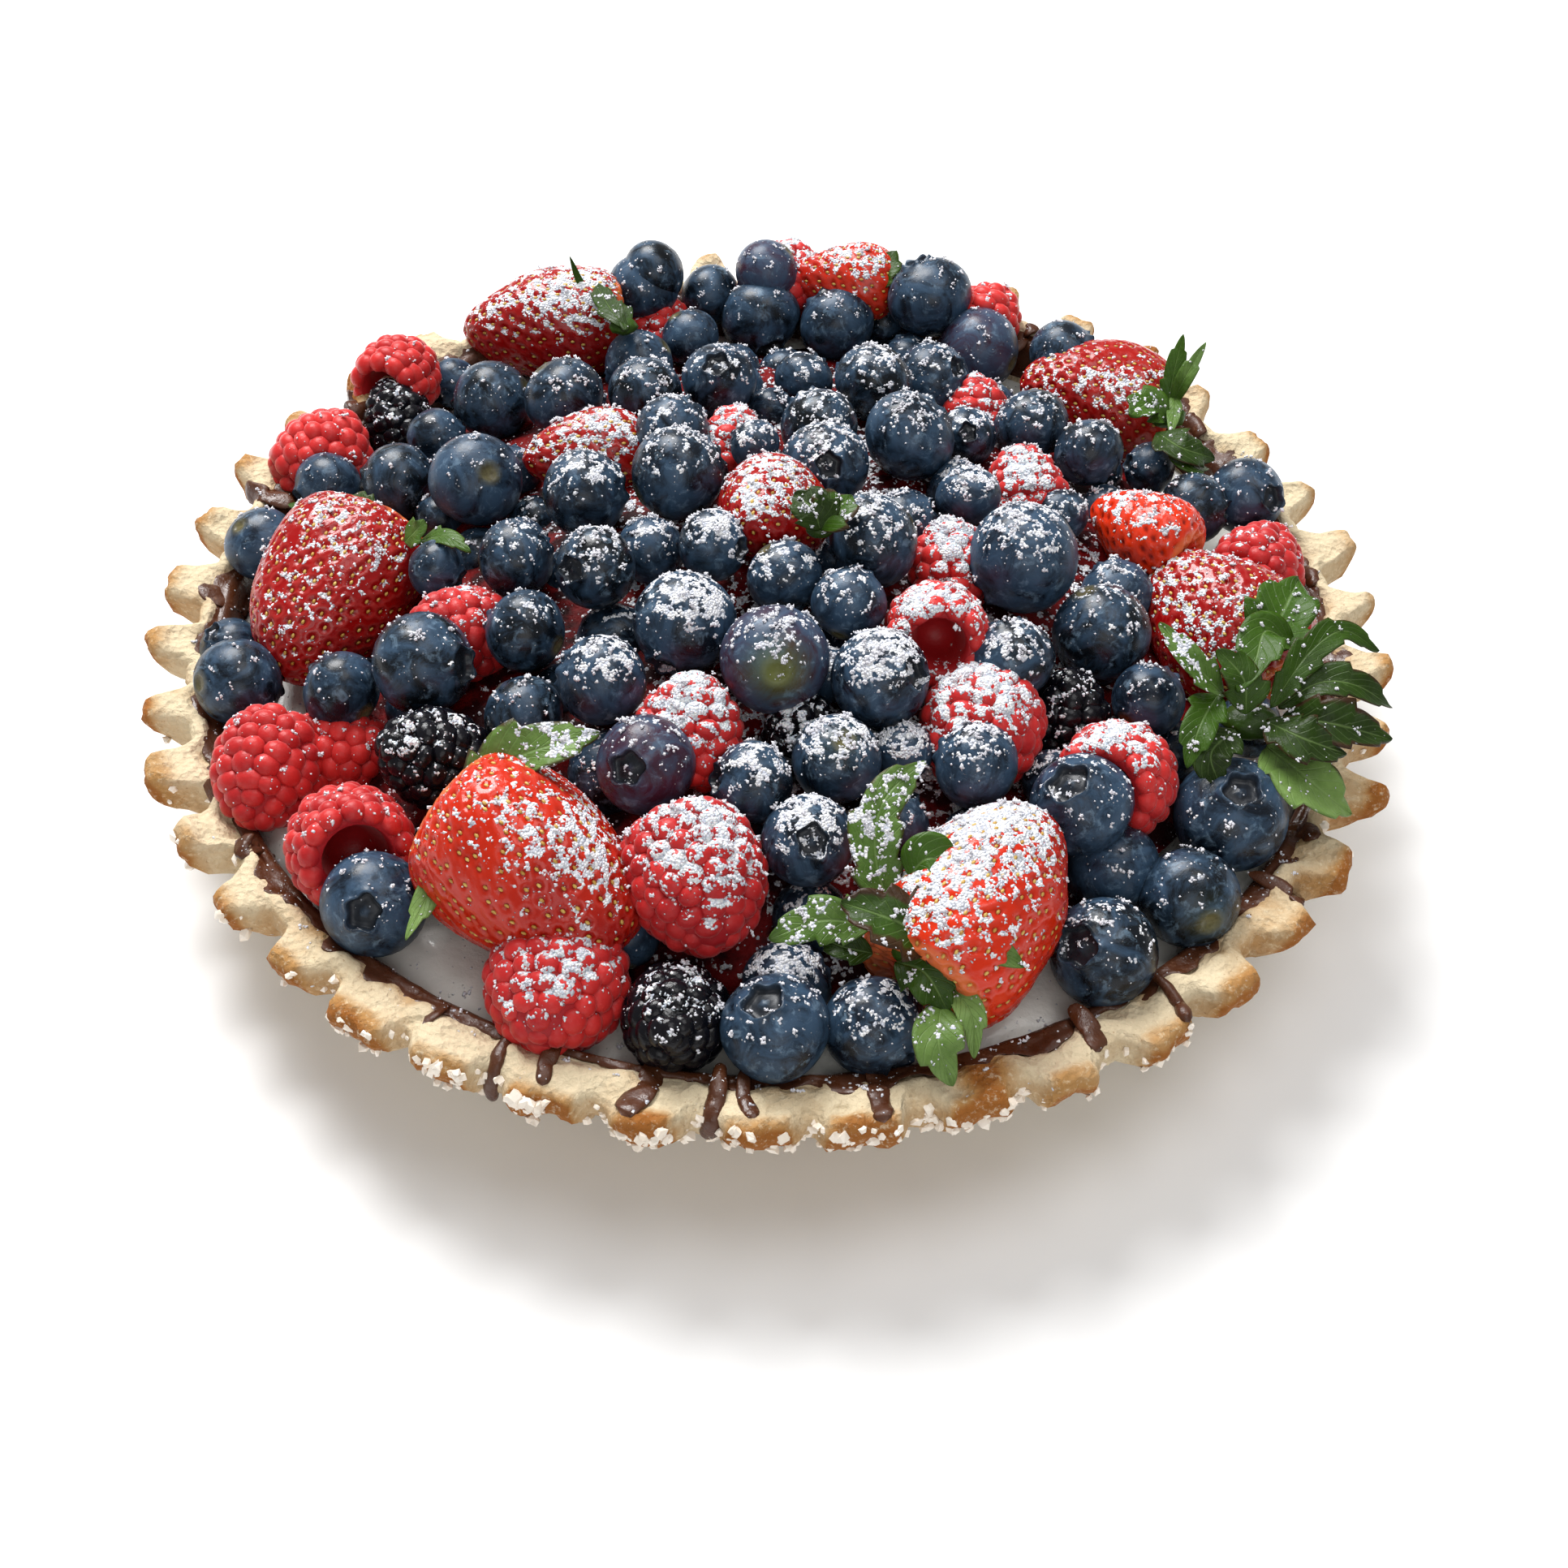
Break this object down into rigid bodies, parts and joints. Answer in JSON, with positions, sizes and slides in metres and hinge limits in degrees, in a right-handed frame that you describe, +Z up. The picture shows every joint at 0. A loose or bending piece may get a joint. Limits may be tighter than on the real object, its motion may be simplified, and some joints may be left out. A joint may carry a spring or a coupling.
{
  "type": "berry tart",
  "caption": "Round fluted shortcrust tart shell lined with chocolate, filled with cream and heaped with blueberries, raspberries and strawberries under icing sugar; rests flat on its base.",
  "frame": {"origin": "middle of the flat underside of the crust", "axes": "+Z up, square to the underside; -Y towards the viewer of the shown side; +X to the viewer's right"},
  "size_m": [0.2346, 0.2347, 0.0684],
  "materials": {
    "crust": "matt baked shortcrust, pale with golden tips",
    "chocolate": "glossy set dark chocolate",
    "cream": "soft satin cream",
    "strawberry": "glossy ripe berry with golden seeds, sugar dusted",
    "raspberry": "satin drupelets, sugar dusted",
    "bramble": "glossy near-black drupelets, sugar dusted",
    "blueberry": "dark blue skin with a waxy bloom, sugar dusted",
    "leaves": "satin green leaf, sugar dusted"
  },
  "bodies": {
    "root": {"crust": "crust", "chocolate": "chocolate", "cream": "cream", "strawberry_1": "strawberry", "strawberry_2": "strawberry", "strawberry_3": "strawberry", "strawberry_4": "strawberry", "strawberry_5": "strawberry", "strawberry_6": "strawberry", "strawberry_7": "strawberry", "strawberry_8": "strawberry", "strawberry_9": "strawberry", "strawberry_10": "strawberry", "raspberry_1": "raspberry", "raspberry_2": "raspberry", "raspberry_3": "raspberry", "raspberry_4": "raspberry", "raspberry_5": "raspberry", "raspberry_6": "raspberry", "raspberry_7": "raspberry", "raspberry_8": "raspberry", "raspberry_9": "raspberry", "raspberry_10": "raspberry", "raspberry_11": "raspberry", "raspberry_12": "raspberry", "raspberry_13": "raspberry", "raspberry_14": "raspberry", "raspberry_15": "raspberry", "raspberry_16": "raspberry", "raspberry_hollow_1": "raspberry", "raspberry_hollow_2": "raspberry", "raspberry_hollow_3": "raspberry", "bramble_1": "bramble", "bramble_2": "bramble", "bramble_3": "bramble", "bramble_4": "bramble", "blueberry_1": "blueberry", "blueberry_2": "blueberry", "blueberry_3": "blueberry", "blueberry_4": "blueberry", "blueberry_5": "blueberry", "blueberry_6": "blueberry", "blueberry_7": "blueberry", "blueberry_8": "blueberry", "blueberry_9": "blueberry", "blueberry_10": "blueberry", "blueberry_11": "blueberry", "blueberry_12": "blueberry", "blueberry_13": "blueberry", "blueberry_14": "blueberry", "blueberry_15": "blueberry", "blueberry_heap": "blueberry", "leaves_1": "leaves", "leaves_2": "leaves", "leaves_3": "leaves", "leaves_4": "leaves", "leaves_5": "leaves", "leaves_6": "leaves", "leaves_7": "leaves", "leaves_8": "leaves"}
  },
  "joints": []
}
